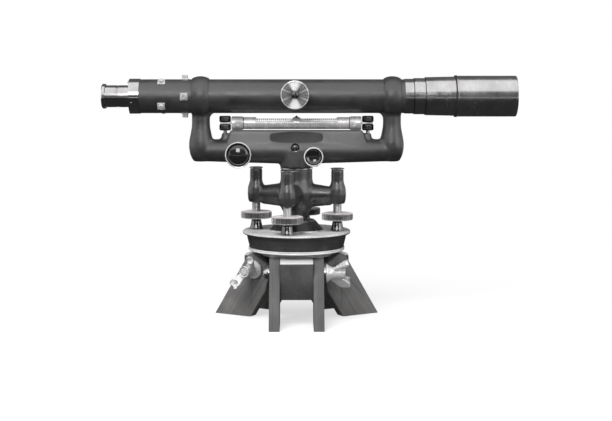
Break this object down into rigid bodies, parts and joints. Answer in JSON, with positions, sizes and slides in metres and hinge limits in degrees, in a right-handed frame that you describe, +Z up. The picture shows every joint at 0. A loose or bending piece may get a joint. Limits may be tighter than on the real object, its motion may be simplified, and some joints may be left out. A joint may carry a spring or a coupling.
{
  "type": "dumpy level",
  "caption": "Builder's dumpy level with a telescope on a tubular-bar frame, spirit level, levelling screws and the top of its tripod.",
  "frame": {"origin": "on the vertical axis, at the mouth of the plumb-bob bore under the tripod head", "axes": "+X along the telescope towards the objective, -Y the side with the knobs, +Z up"},
  "size_m": [0.4116, 0.1457, 0.2431],
  "materials": {
    "black_enamel": "matt black crackle enamel",
    "nickel": "turned and lacquered nickel",
    "plate_metal": "bright turned top with an enamelled skirt",
    "bright_steel": "bright turned steel",
    "disc_metal": "knurled rim",
    "brass": "turned bearing metal",
    "black_knob": "polished black with bright rims",
    "leg_wood": "dark stained hardwood, satin varnish",
    "glass": "clear"
  },
  "bodies": {
    "tripod": {"tripod_head": "black_enamel", "leg_bolts": "nickel", "leg_washers": "nickel", "foot_plate": "plate_metal", "ball_cap": "black_enamel", "levelling_shoes": "nickel"},
    "front_leg": {"front_leg": "leg_wood"},
    "right_leg": {"right_leg": "leg_wood"},
    "left_leg": {"left_leg": "leg_wood"},
    "front_wing_nut": {"front_wing_nut": "nickel"},
    "right_wing_nut": {"right_wing_nut": "nickel"},
    "left_wing_nut": {"left_wing_nut": "nickel"},
    "half_ball": {"half_ball": "brass"},
    "levelling_head": {"levelling_head": "black_enamel", "socket_ring": "nickel", "dust_caps": "nickel"},
    "screw_a": {"screw_a": "bright_steel"},
    "screw_b": {"screw_b": "bright_steel"},
    "screw_c": {"screw_c": "bright_steel"},
    "screw_d": {"screw_d": "bright_steel"},
    "disc_a": {"disc_a": "disc_metal"},
    "disc_b": {"disc_b": "disc_metal"},
    "disc_c": {"disc_c": "disc_metal"},
    "disc_d": {"disc_d": "disc_metal"},
    "clamp_collar": {"clamp_collar": "brass"},
    "clamp_knob": {"clamp_knob": "black_knob"},
    "alidade": {"frame_casting": "black_enamel", "spindle": "brass", "badge_screw": "bright_steel", "plunger_spring": "bright_steel", "spring_box": "bright_steel", "level_case": "nickel", "level_caps": "nickel", "level_vial": "glass", "level_studs": "bright_steel", "capstan_nuts": "bright_steel", "telescope_tube": "black_enamel", "end_ring": "nickel", "pinion_bush": "bright_steel", "eyepiece_ring": "nickel", "erector_tube": "brass", "centring_screws": "bright_steel", "cross_hair_ring": "brass", "cross_hair_screws": "bright_steel"},
    "tangent_screw": {"tangent_screw": "bright_steel"},
    "tangent_knob": {"tangent_knob": "black_knob"},
    "spring_plunger": {"spring_plunger": "bright_steel"},
    "pinion": {"pinion": "brass", "focus_knob": "nickel", "focus_screw": "bright_steel"},
    "focus_slide": {"focus_slide": "brass", "focus_rack": "brass", "slide_collar": "nickel", "objective_cell": "nickel", "objective_glass": "glass", "glass_ring": "brass"},
    "sunshade": {"sunshade": "nickel"},
    "eyepiece": {"eyepiece_barrel": "nickel", "eye_lens": "glass"},
    "eye_cap": {"eye_cap": "black_knob"}
  },
  "joints": [
    {"name": "front_leg_swing", "type": "hinge", "parent": "tripod", "child": "front_leg", "pos_m": [0, -0.033, 0.013], "axis": [1, 0, 0], "range_deg": [-1, 15]},
    {"name": "right_leg_swing", "type": "hinge", "parent": "tripod", "child": "right_leg", "pos_m": [0.02858, 0.0165, 0.013], "axis": [-0.5, 0.866, 0], "range_deg": [-1, 15]},
    {"name": "left_leg_swing", "type": "hinge", "parent": "tripod", "child": "left_leg", "pos_m": [-0.02858, 0.0165, 0.013], "axis": [-0.5, -0.866, 0], "range_deg": [-1, 15]},
    {"name": "front_wing_nut_turn", "type": "hinge", "parent": "tripod", "child": "front_wing_nut", "pos_m": [0.034, -0.033, 0.013], "axis": [1, 0, 0], "continuous": true},
    {"name": "right_wing_nut_turn", "type": "hinge", "parent": "tripod", "child": "right_wing_nut", "pos_m": [0.01158, 0.04594, 0.013], "axis": [-0.5, 0.866, 0], "continuous": true},
    {"name": "left_wing_nut_turn", "type": "hinge", "parent": "tripod", "child": "left_wing_nut", "pos_m": [-0.04558, -0.01294, 0.013], "axis": [-0.5, -0.866, 0], "continuous": true},
    {"name": "tilt_ab", "type": "hinge", "parent": "tripod", "child": "half_ball", "pos_m": [0, 0, 0.056], "axis": [0.2147, 0.9767, 0], "range_deg": [-2.5, 2.5]},
    {"name": "tilt_cd", "type": "hinge", "parent": "half_ball", "child": "levelling_head", "pos_m": [0, 0, 0.056], "axis": [0.9767, -0.2147, 0], "range_deg": [-2.5, 2.5]},
    {"name": "screw_a_travel", "type": "slide", "parent": "levelling_head", "child": "screw_a", "axis": [0, 0, 1], "range_m": [-0.0019, 0.0019]},
    {"name": "disc_a_turn", "type": "hinge", "parent": "screw_a", "child": "disc_a", "pos_m": [-0.04073, 0.00895, 0.0667], "axis": [0, 0, 1], "range_deg": [-660, 660]},
    {"name": "screw_b_travel", "type": "slide", "parent": "levelling_head", "child": "screw_b", "axis": [0, 0, 1], "range_m": [-0.0019, 0.0019]},
    {"name": "disc_b_turn", "type": "hinge", "parent": "screw_b", "child": "disc_b", "pos_m": [0.04073, -0.00895, 0.0667], "axis": [0, 0, 1], "range_deg": [-660, 660]},
    {"name": "screw_c_travel", "type": "slide", "parent": "levelling_head", "child": "screw_c", "axis": [0, 0, 1], "range_m": [-0.0019, 0.0019]},
    {"name": "disc_c_turn", "type": "hinge", "parent": "screw_c", "child": "disc_c", "pos_m": [-0.00895, -0.04073, 0.0667], "axis": [0, 0, 1], "range_deg": [-660, 660]},
    {"name": "screw_d_travel", "type": "slide", "parent": "levelling_head", "child": "screw_d", "axis": [0, 0, 1], "range_m": [-0.0019, 0.0019]},
    {"name": "disc_d_turn", "type": "hinge", "parent": "screw_d", "child": "disc_d", "pos_m": [0.00895, 0.04073, 0.0667], "axis": [0, 0, 1], "range_deg": [-660, 660]},
    {"name": "azimuth", "type": "hinge", "parent": "levelling_head", "child": "clamp_collar", "pos_m": [0, 0, 0.118], "axis": [0, 0, 1], "continuous": true},
    {"name": "clamp_turn", "type": "hinge", "parent": "clamp_collar", "child": "clamp_knob", "pos_m": [0.0168, -0.02, 0.127], "axis": [0, -1, 0], "range_deg": [0, 270]},
    {"name": "slow_motion", "type": "hinge", "parent": "clamp_collar", "child": "alidade", "pos_m": [0, 0, 0.118], "axis": [0, 0, 1], "range_deg": [-2.5, 2.5]},
    {"name": "tangent_travel", "type": "slide", "parent": "alidade", "child": "tangent_screw", "axis": [0, 1, 0], "range_m": [-0.0026, 0.0026]},
    {"name": "tangent_turn", "type": "hinge", "parent": "tangent_screw", "child": "tangent_knob", "pos_m": [-0.0573, -0.022, 0.129], "axis": [0, 1, 0], "range_deg": [-905, 905]},
    {"name": "plunger_travel", "type": "slide", "parent": "alidade", "child": "spring_plunger", "axis": [0, 1, 0], "range_m": [-0.0026, 0.0026]},
    {"name": "focus_turn", "type": "hinge", "parent": "alidade", "child": "pinion", "pos_m": [-0.0016, -0.02, 0.188], "axis": [0, -1, 0], "range_deg": [0, 298.5]},
    {"name": "focus_travel", "type": "slide", "parent": "alidade", "child": "focus_slide", "axis": [1, 0, 0], "range_m": [0, 0.025]},
    {"name": "sunshade_slip", "type": "slide", "parent": "focus_slide", "child": "sunshade", "axis": [1, 0, 0], "range_m": [0, 0.009]},
    {"name": "eyepiece_travel", "type": "slide", "parent": "alidade", "child": "eyepiece", "axis": [-1, 0, 0], "range_m": [0, 0.006]},
    {"name": "eyepiece_turn", "type": "hinge", "parent": "eyepiece", "child": "eye_cap", "pos_m": [-0.191, 0, 0.186], "axis": [-1, 0, 0], "range_deg": [0, 180]}
  ],
  "couplings": [
    {"joint": "screw_a_travel", "follows": "tilt_ab", "m_per_rad": -0.0417},
    {"joint": "disc_a_turn", "follows": "tilt_ab", "ratio": -262.01},
    {"joint": "screw_b_travel", "follows": "tilt_ab", "m_per_rad": 0.0417},
    {"joint": "disc_b_turn", "follows": "tilt_ab", "ratio": 262.01},
    {"joint": "screw_c_travel", "follows": "tilt_cd", "m_per_rad": 0.0417},
    {"joint": "disc_c_turn", "follows": "tilt_cd", "ratio": 262.01},
    {"joint": "screw_d_travel", "follows": "tilt_cd", "m_per_rad": -0.0417},
    {"joint": "disc_d_turn", "follows": "tilt_cd", "ratio": -262.01},
    {"joint": "tangent_travel", "follows": "slow_motion", "m_per_rad": 0.0573},
    {"joint": "tangent_turn", "follows": "slow_motion", "ratio": 360.03},
    {"joint": "plunger_travel", "follows": "slow_motion", "m_per_rad": 0.0573},
    {"joint": "focus_turn", "follows": "focus_travel", "rad_per_m": 208.33},
    {"joint": "eyepiece_turn", "follows": "eyepiece_travel", "rad_per_m": 523.6}
  ]
}
